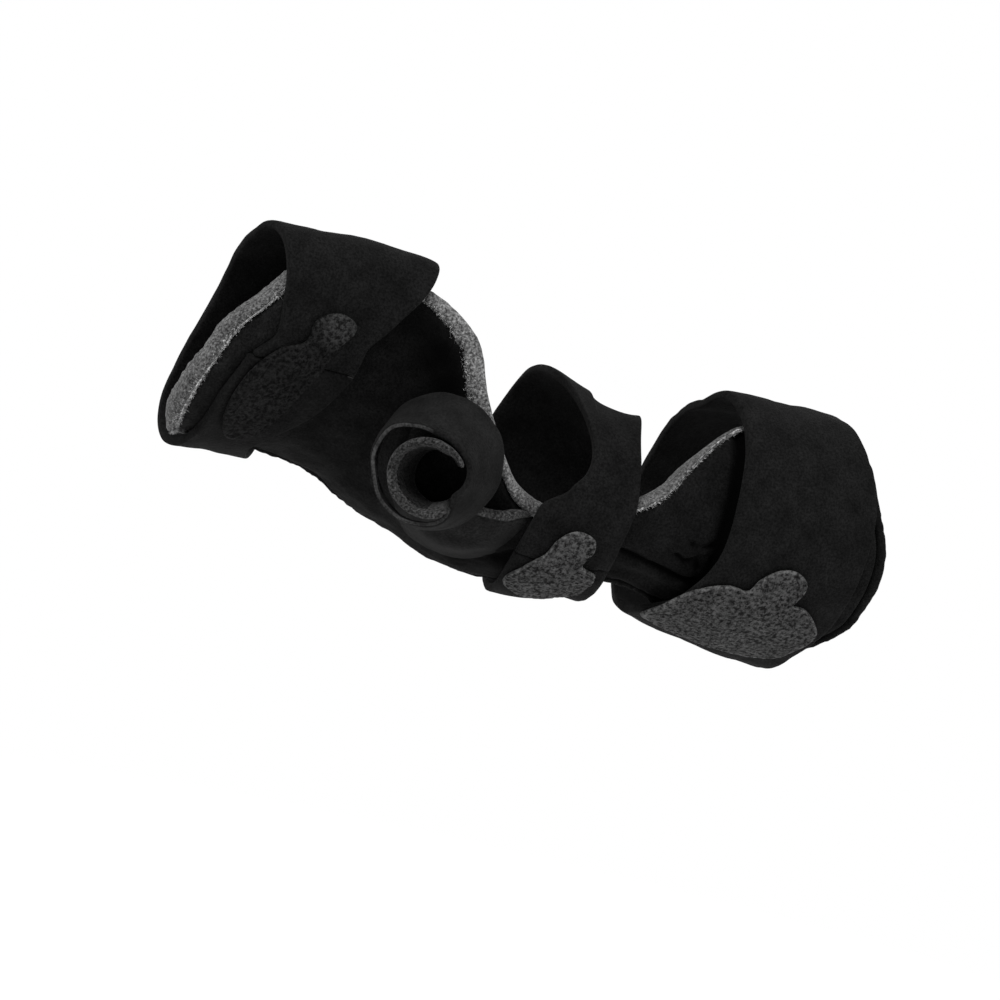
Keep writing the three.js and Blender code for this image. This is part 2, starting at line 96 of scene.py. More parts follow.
# Width of the rims along both long sides as a share of their full width. The waves of the ragged edge
# beside the palm: height as a share of that width, length in millimetres over a radian, and phase.
EDGE_SCALE = table("place scale", [
    [-1.00, 1], [-0.02, 1], [0.12, 0.55], [0.72, 0.55], [0.90, 1], [1.00, 1],
])
RAGGED, RAGGED_MOST = ((0.22, 1.1, 0), (0.16, 0.47, 1)), 1.1
STRAPS = {
    "finger": table("turn distal proximal slack_distal slack_proximal", [
        [14, -0.915, -0.67, 0.05, 0.05], [25, -0.875, -0.67, 0.05, 0.05],
        [40, -0.880, -0.63, 0.05, 0.05], [60, -0.885, -0.575, 0.05, 0.05],
        [76, -0.893, -0.555, 0.02, -0.05], [90, -0.900, -0.55, -0.35, -0.60],
        [105, -0.905, -0.545, -0.95, -1.10], [140, -0.905, -0.545, -1.50, -1.90],
        [180, -0.915, -0.55, -2.00, -2.60], [230, -0.940, -0.57, -1.40, -1.80],
        [270, -0.950, -0.66, 0.00, 0.00], [290, -0.945, -0.73, 0.05, 0.05],
        [313, -0.945, -0.78, 0.05, 0.05], [327, -0.945, -0.76, 0.05, 0.05],
        [345, -0.945, -0.71, 0.05, 0.05], [371, -0.925, -0.67, 0.05, 0.05],
    ]),
    "wrist": table("turn distal proximal slack_distal slack_proximal", [
        [-12, -0.145, 0.025, 0.05, 0.05], [10, -0.145, 0.02, 0.05, 0.05],
        [25, -0.100, 0.02, 0.00, 0.00], [40, -0.060, 0.015, -0.30, -0.30],
        [55, -0.068, 0.01, -0.40, -0.50], [64, -0.130, 0.00, -0.50, -0.60],
        [78, -0.200, 0.00, -1.30, -0.50], [100, -0.225, 0.03, -2.15, -0.90],
        [140, -0.235, 0.08, -2.50, -2.10], [180, -0.235, 0.11, -2.80, -1.75],
        [230, -0.190, 0.12, -1.50, -1.10], [270, -0.130, 0.10, 0.00, 0.00],
        [290, -0.130, 0.06, 0.05, 0.05], [346, -0.145, 0.025, 0.05, 0.05],
    ]),
    "forearm": table("turn distal proximal slack_distal slack_proximal", [
        [-18, 0.27, 0.925, 0.35, 0.05], [10, 0.32, 0.935, 0.45, 0.05], [40, 0.325, 0.935, 0.45, 0.05],
        [66, 0.345, 0.90, 0.45, 0.05], [80, 0.35, 0.88, 0.42, 0.02], [95, 0.35, 0.88, 0.25, -0.45],
        [125, 0.37, 0.96, -0.72, -1.08], [180, 0.43, 1.00, -0.50, -0.80],
        [235, 0.40, 1.00, -0.20, -0.30], [270, 0.30, 0.98, -0.30, 0.38],
        [290, 0.245, 0.96, -0.28, 0.48], [305, 0.228, 0.94, -0.08, 0.34],
        [318, 0.213, 0.93, 0.07, 0.15], [325, 0.214, 0.92, 0.18, 0.10], [340, 0.262, 0.925, 0.35, 0.05],
    ]),
}
TABS = {
    "finger": table("place turn", [
        [-0.93, -8], [-0.915, 8], [-0.872, 19], [-0.815, 25], [-0.808, 36], [-0.767, 41.5], [-0.722, 38],
        [-0.722, 32], [-0.752, 27], [-0.748, 19], [-0.758, 9], [-0.775, -3], [-0.79, -16], [-0.82, -32],
        [-0.88, -38], [-0.92, -26],
    ]),
    "wrist": table("place turn", [
        [-0.135, -30], [-0.12, -17], [-0.095, -5], [-0.083, 4], [-0.056, 11], [-0.031, 9], [-0.024, 2],
        [-0.031, -7], [-0.012, -13], [0.012, -18], [0.008, -27], [-0.02, -34], [-0.09, -37],
    ]),
    "forearm": table("place turn", [
        [0.19, -31], [0.23, -13], [0.30, -3], [0.385, 2], [0.47, 2], [0.495, 8], [0.555, 13.5],
        [0.625, 15], [0.69, 11.5], [0.70, 6], [0.685, 0], [0.75, -1], [0.83, -7], [0.878, -14],
        [0.86, -25], [0.80, -36], [0.60, -42], [0.35, -42], [0.22, -38],
    ]),
}
CHANNEL = table("reach back elbow side radius open shut", [
    [0.35, 0.94, 0.09, -0.30, 1.58, 100, 360], [0.60, 0.64, 0.00, -0.15, 1.06, 75, 335],
    [0.78, 0.38, -0.02, -0.08, 1.00, 55, 326], [1.00, 0.00, 0.00, 0.00, 1.00, 40, 322],
])
SEAT = table("bearing place turn", [
    [120, -0.458, 15], [150, -0.475, -2], [180, -0.43, -22], [210, -0.36, -42], [240, -0.285, -56],
    [265, -0.225, -46], [290, -0.178, -30], [320, -0.157, -16], [340, -0.147, -5], [368, -0.146, 6],
])


# Surfaces


def smooth(rows, key, x):
    """Smooth curve through one column of a table, read against its first column."""
    at = rows[next(iter(rows))]
    value = rows[key]
    x = np.clip(x, at[0], at[-1])
    i = np.clip(np.searchsorted(at, x, side="right") - 1, 0, len(at) - 2)
    slope = np.diff(value) / np.diff(at)
    tangent = np.empty_like(value)
    tangent[0], tangent[-1] = slope[0], slope[-1]
    tangent[1:-1] = np.where(slope[:-1] * slope[1:] <= 0, 0, (slope[:-1] + slope[1:]) / 2)
    step = at[i + 1] - at[i]
    t = (x - at[i]) / step
    start = (2 * t - 3) * t * t + 1
    bend = ((t - 2) * t + 1) * t * step * tangent[i] + (t - 1) * t * t * step * tangent[i + 1]
    return start * value[i] + (1 - start) * value[i + 1] + bend


def unit(vectors):
    return vectors / np.linalg.norm(vectors, axis=-1, keepdims=True)


def limb_centre(place):
    reach = np.where(place < 0, HAND, FOREARM)
    side = -HALF_WIDTH * smooth(SECTIONS, "side", place)
    return np.stack([place * reach, side, RISE * smooth(SECTIONS, "rise", place)], axis=-1)


def trough_point(place, turn, outside):
    """Point of the trough's section at a place and turn, a distance outside its inner face."""
    place, turn, outside = np.broadcast_arrays(*[np.asarray(v, float) for v in (place, turn, outside)])
    along = unit(limb_centre(place + CENTRE_STEP) - limb_centre(place - CENTRE_STEP))
    thumbward = unit(np.cross(along, [0, 0, 1]))
    palmward = np.cross(along, thumbward)
    half = HALF_WIDTH * smooth(SECTIONS, "half", place)
    depth = DEPTH * smooth(SECTIONS, "depth", place)
    angle = np.radians(turn)
    normal = unit(np.stack([np.sin(angle) / half, np.cos(angle) / depth], axis=-1))
    across = half * np.sin(angle) + outside * normal[..., 0]
    down = depth * np.cos(angle) + outside * normal[..., 1] - DEPTH * smooth(SECTIONS, "lift", place)
    return limb_centre(place) + across[..., None] * thumbward + down[..., None] * palmward


def trough_grid(row_share, row_inset, column_share, column_inset):
    """Place and turn of a grid point of the trough, with insets from its four edges."""
    place = 2 * row_share - 1
    little = -smooth(SECTIONS, "little", place)
    thumb = smooth(SECTIONS, "thumb", place)
    line = little + (thumb - little) * column_share
    angle = np.radians(line)
    half = HALF_WIDTH * smooth(SECTIONS, "half", place) * np.cos(angle)
    depth = DEPTH * smooth(SECTIONS, "depth", place) * np.sin(angle)
    ragged = sum(high * np.sin(HAND * place / length + phase) for high, length, phase in RAGGED)
    grow = smooth(WEB, "grow", place)
    grow = np.where(column_inset < 0, grow + np.minimum(grow - 1, RAGGED_MOST) * ragged, 1)
    grow = grow * smooth(EDGE_SCALE, "scale", place)
    shift = column_inset * grow + column_share * smooth(WEB, "reach", place)
    turn = line + np.degrees(shift / (np.hypot(half, depth) + PAD / 2))
    pan = np.maximum(0, 1 - row_share / END_FADE) ** 2
    elbow = np.maximum(0, 1 - (1 - row_share) / END_FADE) ** 2
    place = (place + smooth(PAN_END, "short", turn) * pan - smooth(ELBOW_END, "short", turn) * elbow
             + row_inset / np.where(place < 0, HAND, FOREARM))
    return place, turn


def strap_stand(rows, place, turn):
    """Distance that a strap's inner face stands outside the lining's inner face."""
    turn = np.where(turn < rows["turn"][0], turn + 360, turn)
    distal = smooth(rows, "distal", turn)
    proximal = smooth(rows, "proximal", turn)
    share = np.clip((place - distal) / (proximal - distal), 0, 1)
    near = smooth(rows, "slack_distal", turn)
    far = smooth(rows, "slack_proximal", turn)
    return PAD + STRAP_CLEAR + STRAP_SLACK * (near + (far - near) * share)


def ripple(points, size, seed):
    """Smooth seeded noise from -1 to 1 with bumps of about this size."""
    count = 20
    rng = np.random.default_rng(seed)
    pitch = rng.normal(size=(count, 3))
    wave = unit(pitch) * (2 * math.pi / size) * rng.uniform(0.6, 1.5, (count, 1))
    phase = rng.uniform(0, 2 * math.pi, count)
    return np.clip(np.cos(points @ wave.T + phase).sum(axis=-1) / math.sqrt(count), -1, 1)


def ripples(points, waves):
    """Sum of seeded noises, each given by its height, size and seed."""
    return sum(height * ripple(points, size, seed) for height, size, seed in waves)


def to_object(points):
    """From the limb's frame in millimetres to the object's frame in metres."""
    c, s = math.cos(PALM_TURN), math.sin(PALM_TURN)
    x, y, z = points[..., 0], points[..., 1], points[..., 2]
    return np.stack([x, c * y - s * z, s * y + c * z], axis=-1) / 1000


# Mesh building


def new_piece(name, points, faces, materials, indices, node):
    mesh = bpy.data.meshes.new(name)
    mesh.from_pydata(to_object(points).tolist(), [], faces)
    work = bmesh.new()
    work.from_mesh(mesh)
    bmesh.ops.recalc_face_normals(work, faces=work.faces)
    work.to_mesh(mesh)
    work.free()
    for material in materials:
        mesh.materials.append(material)
    mesh.polygons.foreach_set("material_index", indices)
    mesh.shade_smooth()
    piece = bpy.data.objects.new(name, mesh)
    bpy.context.scene.collection.objects.link(piece)
    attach(piece, "root")
    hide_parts(node)
    return piece


def lines(count, edge):
    """Grid lines from 0 to 1: (share, inset, edge number), with the edge's lines at both ends."""
    last = edge[-1]
    out = [(0.0, inset, i) for i, inset in enumerate(edge)]
    for i in range(1, count):
        out.append((i / count, last * (1 - 2 * i / count), len(edge)))
    out += [(1.0, -inset, i) for i, inset in reversed(list(enumerate(edge)))]
    return [np.array(column) for column in zip(*out)]


def sheet_mesh(rank, outer, inner):
    """Closed sheet of two grids that share their boundary. rank is the edge number of each point.

    Each face also gets the lowest edge number of its corners, and a side: 0 outside, 1 inside."""
    rows, columns = rank.shape
    top = np.arange(rows * columns).reshape(rows, columns)
    bottom = top.copy()
    bottom[1:-1, 1:-1] = rows * columns + np.arange((rows - 2) * (columns - 2)).reshape(rows - 2, -1)
    points = np.concatenate([outer.reshape(-1, 3), inner[1:-1, 1:-1].reshape(-1, 3)])
    faces = []
    for ids, order in ((top, 1), (bottom, -1)):
        quad = np.stack([ids[:-1, :-1], ids[1:, :-1], ids[1:, 1:], ids[:-1, 1:]], axis=-1)
        faces += quad[..., ::order].reshape(-1, 4).tolist()
    low = np.minimum.reduce([rank[:-1, :-1], rank[1:, :-1], rank[1:, 1:], rank[:-1, 1:]]).ravel()
    return points, faces, np.tile(low, 2), np.repeat([0, 1], low.size)


def trough_net(row_lines, column_lines):
    """Place, turn and edge number of each point of a grid over the trough."""
    row_share, row_inset, row_rank = row_lines
    column_share, column_inset, column_rank = column_lines
    place, turn = trough_grid(row_share[:, None], row_inset[:, None],
                              column_share[None], column_inset[None])
    return place, turn, np.minimum(row_rank[:, None], column_rank[None])


# Materials


def nodes_of(name):
    material = bpy.data.materials.new(name)
    material.use_nodes = True
    tree = material.node_tree
    shader = tree.nodes["Principled BSDF"]
    where = tree.nodes.new("ShaderNodeTexCoord").outputs["Object"]
    return material, tree, shader, where


def add_noise(tree, where, scale, detail=3.0, rough=0.6):
    node = tree.nodes.new("ShaderNodeTexNoise")
    node.inputs["Scale"].default_value = scale
    node.inputs["Detail"].default_value = detail
    node.inputs["Roughness"].default_value = rough
    tree.links.new(where, node.inputs["Vector"])
    return node.outputs["Fac"]


def add_ramp(tree, factor, stops):
    node = tree.nodes.new("ShaderNodeValToRGB")
    ramp = node.color_ramp
    while len(ramp.elements) < len(stops):
        ramp.elements.new(0.5)
    for element, (place, shade) in zip(ramp.elements, stops):
        element.position = place
        element.color = (*shade, 1)
    tree.links.new(factor, node.inputs["Fac"])
    return node.outputs["Color"]


def add_mix(tree, kind, factor, a, b):
    """Mix of two colours. factor is a number or the output of a node."""
    node = tree.nodes.new("ShaderNodeMix")
    node.data_type = "RGBA"
    node.blend_type = kind
    if isinstance(factor, bpy.types.NodeSocket):
        tree.links.new(factor, node.inputs[0])
    else:
        node.inputs[0].default_value = factor
    tree.links.new(a, node.inputs[6])
    tree.links.new(b, node.inputs[7])
    return node.outputs[2]


def add_fade(tree, value, near, far):
    """1 up to the near value, and from there down to 0 at the far one."""
    node = tree.nodes.new("ShaderNodeMapRange")
    node.inputs["From Min"].default_value = near
    node.inputs["From Max"].default_value = far
    node.inputs["To Min"].default_value = 1
    node.inputs["To Max"].default_value = 0
    tree.links.new(value, node.inputs["Value"])
    return node.outputs["Result"]


def add_bump(tree, shader, heights):
    normal = None
    for height, strength, distance in heights:
        node = tree.nodes.new("ShaderNodeBump")
        node.inputs["Strength"].default_value = strength
        node.inputs["Distance"].default_value = distance
        tree.links.new(height, node.inputs["Height"])
        if normal:
            tree.links.new(normal, node.inputs["Normal"])
        normal = node.outputs["Normal"]
    tree.links.new(normal, shader.inputs["Normal"])


def grey(value):
    return (value, value, value)


def loop_cloth(name, dark, light):
    """Black loop cloth with a brushed, mottled nap, darkened by painted shade where a mesh carries shade
    values.
    """
    material, tree, shader, where = nodes_of(name)
    broad = add_ramp(tree, add_noise(tree, where, 95, 4), [(0.3, grey(dark)), (0.7, grey(light))])
    fine = add_ramp(tree, add_noise(tree, where, 1100, 2), [(0.35, grey(0.55)), (0.65, grey(1.45))])
    # Painted shade: a mesh's shade values darken the cloth's colour, down to black at 1.
    shade = tree.nodes.new("ShaderNodeAttribute")
    shade.attribute_name = "shade"
    lit = add_ramp(tree, shade.outputs["Fac"], [(0.0, grey(1.0)), (1.0, grey(0.0))])
    cloth = add_mix(tree, "MULTIPLY", 1.0, broad, fine)
    tree.links.new(add_mix(tree, "MULTIPLY", 1.0, cloth, lit), shader.inputs["Base Color"])
    shader.inputs["Roughness"].default_value = 0.95
    shader.inputs["Specular IOR Level"].default_value = 0.03
    shader.inputs["Sheen Weight"].default_value = 0.008
    shader.inputs["Sheen Roughness"].default_value = 0.5
    add_bump(tree, shader, [
        (add_noise(tree, where, 160, 4), 0.35, 0.0012),
        (add_noise(tree, where, 1300, 2), 0.7, 0.0005),
    ])
    return material


def terry_cloth(name, dark, light, patches=90, patch_dark=0.8, sheen=0.1):
    """Grey terry with dark gaps between its loops. patches and patch_dark: scale and darkest share
    of its broader patches."""
    material, tree, shader, where = nodes_of(name)
    cells = tree.nodes.new("ShaderNodeTexVoronoi")
    cells.inputs["Scale"].default_value = 900
    tree.links.new(where, cells.inputs["Vector"])
    loops = add_noise(tree, where, 1000, 3, 0.75)
    speck = add_ramp(tree, loops, [(0.40, grey(dark)), (0.62, grey(light))])
    gaps = add_ramp(tree, cells.outputs["Distance"], [(0.15, grey(1.0)), (0.75, grey(0.35))])
    cloth = add_mix(tree, "MULTIPLY", 0.8, speck, gaps)
    broad = add_noise(tree, where, patches, 2)
    patch = add_ramp(tree, broad, [(0.38, grey(patch_dark)), (0.6, grey(1.15))])
    tree.links.new(add_mix(tree, "MULTIPLY", 1.0, cloth, patch), shader.inputs["Base Color"])
    shader.inputs["Roughness"].default_value = 1.0
    shader.inputs["Specular IOR Level"].default_value = sheen
    shader.inputs["Sheen Weight"].default_value = sheen
    add_bump(tree, shader, [
        (add_noise(tree, where, 420, 3), 0.8, 0.0012),
        (cells.outputs["Distance"], 0.8, 0.0006),
    ])
    return material


# Middle of the finger tab's lobe, where its cloth is drawn lighter.
LIGHTER_LOBE = tuple(to_object(trough_point(-0.757, 36.5, PAD + STRAP + TAB)))


def grip_cloth(name, dark, light, lobe_greys=None):
    """Dark grey grip cloth: short rough hooks. The last argument gives the darkest and lightest grey at
    the finger tab's lighter lobe.
    """
    material, tree, shader, where = nodes_of(name)
    hooks = add_noise(tree, where, 620, 3, 0.75)
    speck = add_ramp(tree, hooks, [(0.40, grey(0.6 * dark)), (0.62, grey(1.15 * light))])
    if lobe_greys:
        away = tree.nodes.new("ShaderNodeVectorMath")
        away.operation = "DISTANCE"
        tree.links.new(where, away.inputs[0])
        away.inputs[1].default_value = LIGHTER_LOBE
        fade = add_fade(tree, away.outputs["Value"], 0.004, 0.012)
        lobe = add_ramp(tree, hooks, [(0.40, grey(lobe_greys[0])), (0.60, grey(lobe_greys[1]))])
        speck = add_mix(tree, "MIX", fade, speck, lobe)
    broad = add_ramp(tree, add_noise(tree, where, 120, 3), [(0.3, grey(0.8)), (0.7, grey(1.2))])
    tree.links.new(add_mix(tree, "MULTIPLY", 1.0, speck, broad), shader.inputs["Base Color"])
    shader.inputs["Roughness"].default_value = 0.9
    shader.inputs["Specular IOR Level"].default_value = 0.06
    add_bump(tree, shader, [(add_noise(tree, where, 620, 3), 0.9, 0.0009)])
    return material


BLACK = loop_cloth("black_loop_cloth", 0.0022, 0.0058)
STRAP_BLACK = loop_cloth("strap_loop_cloth", 0.0030, 0.0066)
# Lighter copy of the black loop cloth for the thumb channel and the cover's finger end: painted light.
LIT_BLACK = loop_cloth("lit_loop_cloth", 0.0040, 0.0100)
# Lighter copy of the black loop cloth for the thumb ring: painted light.
LIT_RING_BLACK = loop_cloth("lit_ring_loop_cloth", 0.0036, 0.0080)
CUT_EDGE = loop_cloth("cut_cloth_edge", 0.012, 0.034)
TERRY = terry_cloth("grey_terry", 0.026, 0.150)
# Lighter copy of the grey terry for the web beside the palm: painted light.
LIT_TERRY = terry_cloth("lit_web_terry", 0.040, 0.235)
# Copies of the grey terry darkened with painted shade for the thumb channel's lining: darkest inside it,
# less dark at its rim and shut edge.
SHADED_TERRY = terry_cloth("shaded_terry", 0.0010, 0.022, sheen=0.02)
HALF_SHADED_TERRY = terry_cloth("half_shaded_rim_terry", 0.008, 0.060, sheen=0.04)
FRAY = terry_cloth("frayed_terry", 0.14, 0.80, patches=380, patch_dark=0.35)
GRIP = grip_cloth("grip_cloth", 0.0066, 0.046)
# The finger tab's grip cloth, darkened with painted shade and lighter at its lobe.
SHADED_GRIP = grip_cloth("shaded_grip_cloth", 0.0006, 0.0085, (0.0035, 0.032))
GRIP_EDGE = grip_cloth("grip_edge", 0.020, 0.070)


# Trough


# Creases of the cover: points of each line as (place, turn), then depth, half width and height of the
# roll beside it in millimetres, and the side on which that roll stands.
CREASES = (
    (((0.335, -12), (0.345, 20), (0.35, 45), (0.372, 80)), 2.6, 3.2, 0.0, 1),
    (((0.032, -1.5), (0.10, -6.5), (0.235, -10), (0.325, -10.5)), 2.4, 1.6, 1.4, -1),
    (((0.055, -25.5), (0.113, -30.5), (0.213, -32), (0.30, -31)), 2.2, 1.8, 1.4, 1),
    (((0.20, 4), (0.245, 1), (0.275, 6), (0.30, 0)), 1.6, 1.3, 1.0, 1),
    (((0.235, 12), (0.27, 10), (0.31, 14)), 1.2, 1.4, 0.8, -1),
    (((-0.10, -2), (-0.125, -14), (-0.165, -24)), 1.5, 2.2, 0.8, -1),
    (((-0.52, 38), (-0.47, 30), (-0.44, 20)), 0.7, 2.5, 0.5, 1),
    (((-0.50, 28), (-0.46, 20)), 0.6, 2.0, 0.4, 1),
)
# A crease's roll: how far out it stands and its half width, and where crease and roll run out, in
# half widths of the crease.
ROLL_AT, ROLL_WIDTH, ROLL_END = 2.2, 1.5, 6
# Places of the cover darkened with painted shade (beside the palm's web, under the thumb channel's foot
# and on the forearm): place, turn, reach in millimetres and strength. A crease of this depth gets
# painted shade in full.
SHADES = (
    (-0.545, 45, 12, 0.8), (-0.50, 36, 15, 1.0), (-0.445, 26, 13, 1.0), (-0.47, 18, 12, 0.7),
    (-0.155, -28, 13, 1.0), (-0.205, -35, 12, 1.0), (-0.115, -19, 8, 0.7), (-0.27, -44, 7, 0.7),
    (0.32, 6, 6, 0.8), (0.225, -31, 5, 0.9), (0.33, -14, 6, 0.9),
)
FULL_SHADE_DEPTH = 1.6
# Insets of the cover's edge lines from the trough's edge, its fullness on each line and inside them,
# and its swells.
COVER_EDGE = tuple(RIM + RIM_STEP + GAP + past for past in (0.0, 0.25, 0.7, 1.4, 2.25))
COVER_HIGH = np.array([0.0, 0.55, 0.83, 0.97, 1.0, 1.0])
COVER_SWELLS = ((0.55, 38, 1), (0.3, 15, 2), (0.12, 5, 3))
# The cover's cloth is lighter from this place to the finger end: painted light, in the same lighter
# black cloth as the thumb channel.
PALE_END = -0.86


def crease_depth(place, turn):
    """How far the cover stands out along its creases, negative where it sinks in."""
    x = place * np.where(place < 0, HAND, FOREARM)
    y = np.radians(turn) * HALF_WIDTH
    out = np.zeros(x.shape)
    for corners, depth, width, roll, side in CREASES:
        corners = np.array(corners, float)
        corners[:, 0] *= np.where(corners[:, 0] < 0, HAND, FOREARM)
        corners[:, 1] = np.radians(corners[:, 1]) * HALF_WIDTH
        best = np.full(x.shape, np.inf)
        across = np.zeros(x.shape)
        for a, b in zip(corners[:-1], corners[1:]):
            step = b - a
            share = np.clip(((x - a[0]) * step[0] + (y - a[1]) * step[1]) / (step @ step), 0, 1)
            away = np.stack([x - a[0] - share * step[0], y - a[1] - share * step[1]])
            far = np.hypot(*away)
            sign = np.sign(step[0] * away[1] - step[1] * away[0])
            across = np.where(far < best, far * sign * side, across)
            best = np.minimum(best, far)
        out -= depth * np.exp(-(best / width) ** 2)
        rise = np.exp(-((across - ROLL_AT * width) / (ROLL_WIDTH * width)) ** 2)
        out += roll * rise * np.exp(-(best / (ROLL_END * width)) ** 4)
    return out


def cover_shade(place, turn):
    """Painted shade of the cover in its creases and its shaded places, from 0 to 1."""
    shade = np.clip(-crease_depth(place, turn) / FULL_SHADE_DEPTH, 0, 1)
    for at, round_at, reach, strength in SHADES:
        along = (place - at) * (HAND if at < 0 else FOREARM) / reach
        across = np.radians(turn - round_at) * HALF_WIDTH / reach
        shade = np.maximum(shade, strength * np.exp(-along ** 2 - across ** 2))
    return shade


def build_cover():
    row_lines, column_lines = (lines(count, COVER_EDGE) for count in COVER_CELLS)
    place, turn, rank = trough_net(row_lines, column_lines)
    full = COVER_HIGH[row_lines[2]][:, None] * COVER_HIGH[column_lines[2]][None]
    middle = PAD - COVER / 2
    soft = np.clip(rank / len(COVER_EDGE), 0, 1)
    swell = ripples(trough_point(place, turn, PAD), COVER_SWELLS) + crease_depth(place, turn)
    outer = trough_point(place, turn, middle + full * (COVER / 2 + soft * swell))
    inner = trough_point(place, turn, middle - full * COVER / 2)
    points, faces, _, _ = sheet_mesh(rank, outer, inner)
    pale = np.tile((place[:-1, :-1] < PALE_END).ravel(), 2)
    piece = new_piece("trough_cover", points, faces, [BLACK, LIT_BLACK], pale.astype(int),
                      "splint_body")
    # Painted shade, kept on the points for the cover's cloth to darken its colour.
    shade = cover_shade(place, turn)
    values = np.concatenate([shade.ravel(), shade[1:-1, 1:-1].ravel()])
    piece.data.attributes.new("shade", "FLOAT", "POINT").data.foreach_set("value", values)
    return piece


# Loose threads: how many stand on the finger end, beside the palm and along the forearm, the shares
# of the trough's length over which the last two spread, and how far in from its edges they all stand.
# PAN_CROWD brings those of the finger end closer to the little finger's side.
PAN_STRANDS, WEB_STRANDS, ARM_STRANDS = 1500, 700, 500
WEB_SPAN, ARM_SPAN = (0.18, 0.36), (0.50, 0.69)
PAN_INSET, SIDE_INSET, PAN_CROWD = (0.6, 3.6), (2.4, 3.5), 1.35
# Each thread: its length, its radii at the root and the middle, how deep its root sits, and how much
# it leans and then bends.
STRAND_LENGTH, STRAND_ROOT, STRAND_MIDDLE, STRAND_SINK = (0.6, 2.0), 0.13, 0.09, 0.2
STRAND_LEAN, STRAND_BEND = 0.8, 0.9


def strands(first):
    """Loose threads along the raw edges of the lining: thin bent spikes. first is the first number."""
    rng = np.random.default_rng(7)
    pan, sides = PAN_STRANDS, WEB_STRANDS + ARM_STRANDS
    count = pan + sides
    web_share = rng.uniform(*WEB_SPAN, WEB_STRANDS)
    arm_share = rng.uniform(*ARM_SPAN, ARM_STRANDS)
    row_share = np.concatenate([np.zeros(pan), web_share, arm_share])
    row_inset = np.concatenate([rng.uniform(*PAN_INSET, pan), np.zeros(sides)])
    column_share = np.concatenate([rng.uniform(0.01, 1, pan) ** PAN_CROWD, np.ones(sides)])
    column_inset = np.concatenate([np.zeros(pan), -rng.uniform(*SIDE_INSET, sides)])
    place, turn = trough_grid(row_share, row_inset, column_share, column_inset)
    root = trough_point(place, turn, PAD - STRAND_SINK)
    out = unit(trough_point(place, turn, PAD + 1) - trough_point(place, turn, PAD))
    drift = unit(rng.normal(size=(count, 3)))
    length = rng.uniform(*STRAND_LENGTH, count)[:, None]
    lean = unit(out + STRAND_LEAN * drift)
    middle = root + 0.5 * length * lean
    bend = STRAND_BEND * unit(rng.normal(size=(count, 3)))
    tip = middle + 0.5 * length * unit(lean + bend)
    side = unit(np.cross(lean, unit(rng.normal(size=(count, 3)))))
    other = np.cross(lean, side)
    points = []
    for centre, radius in ((root, STRAND_ROOT), (middle, STRAND_MIDDLE)):
        for k in range(3):
            angle = 2 * math.pi * k / 3
            points.append(centre + radius * (math.cos(angle) * side + math.sin(angle) * other))
    points.append(tip)
    each = len(points)
    points = np.stack(points, axis=1).reshape(-1, 3)
    pattern = ((2, 1, 0), (0, 1, 4, 3), (1, 2, 5, 4), (2, 0, 3, 5), (3, 4, 6), (4, 5, 6), (5, 3, 6))
    faces = [[first + each * i + k for k in face] for i in range(count) for face in pattern]
    return points, faces


# Section of the lining's rolled rim: inset from the trough's edge, and how far its outer and inner
# faces stand outside the lining's inner face.
RIM_ROLL = table("inset out into", [
    [-1.1, 4.7, 4.7], [-0.85, 7.0, 2.3], [-0.2, 8.6, 0.9], [0.8, 9.3, 0.2], [2.2, PAD + 0.3, 0.0],
    [RIM, 9.0, 0.0], [RIM + 0.2, 7.2, 0.0], [RIM + RIM_STEP, LINING, 0.0],
])
# The lining's bumps, and their share on the outer face of its rim, from and to these edge numbers.
LINING_BUMPS = ((0.35, 2.6, 11), (0.3, 6, 12), (0.4, 22, 13))
RIM_BUMPS, RIM_FIRST, RIM_LAST = 0.6, 1, 4
# Cells that a cloth covers from an edge of the lining: the black binding at the elbow end and on the
# little finger's side, the frayed finger end, and the web beside the palm, in a lighter terry that is
# painted light. Then the places from which the binding runs, and from and to which the web runs.
BOUND_CELLS, PAN_CELLS, WEB_CELLS = 9, 6, 12
BOUND_FROM, WEB_FROM, WEB_TO = -0.93, -0.6, -0.2
# Edge numbers at which the frayed cloth starts and ends, and where it starts beside the palm.
FRAY_FIRST, FRAY_LAST, FRAY_FIRST_AT_PALM = 4, 6, 6


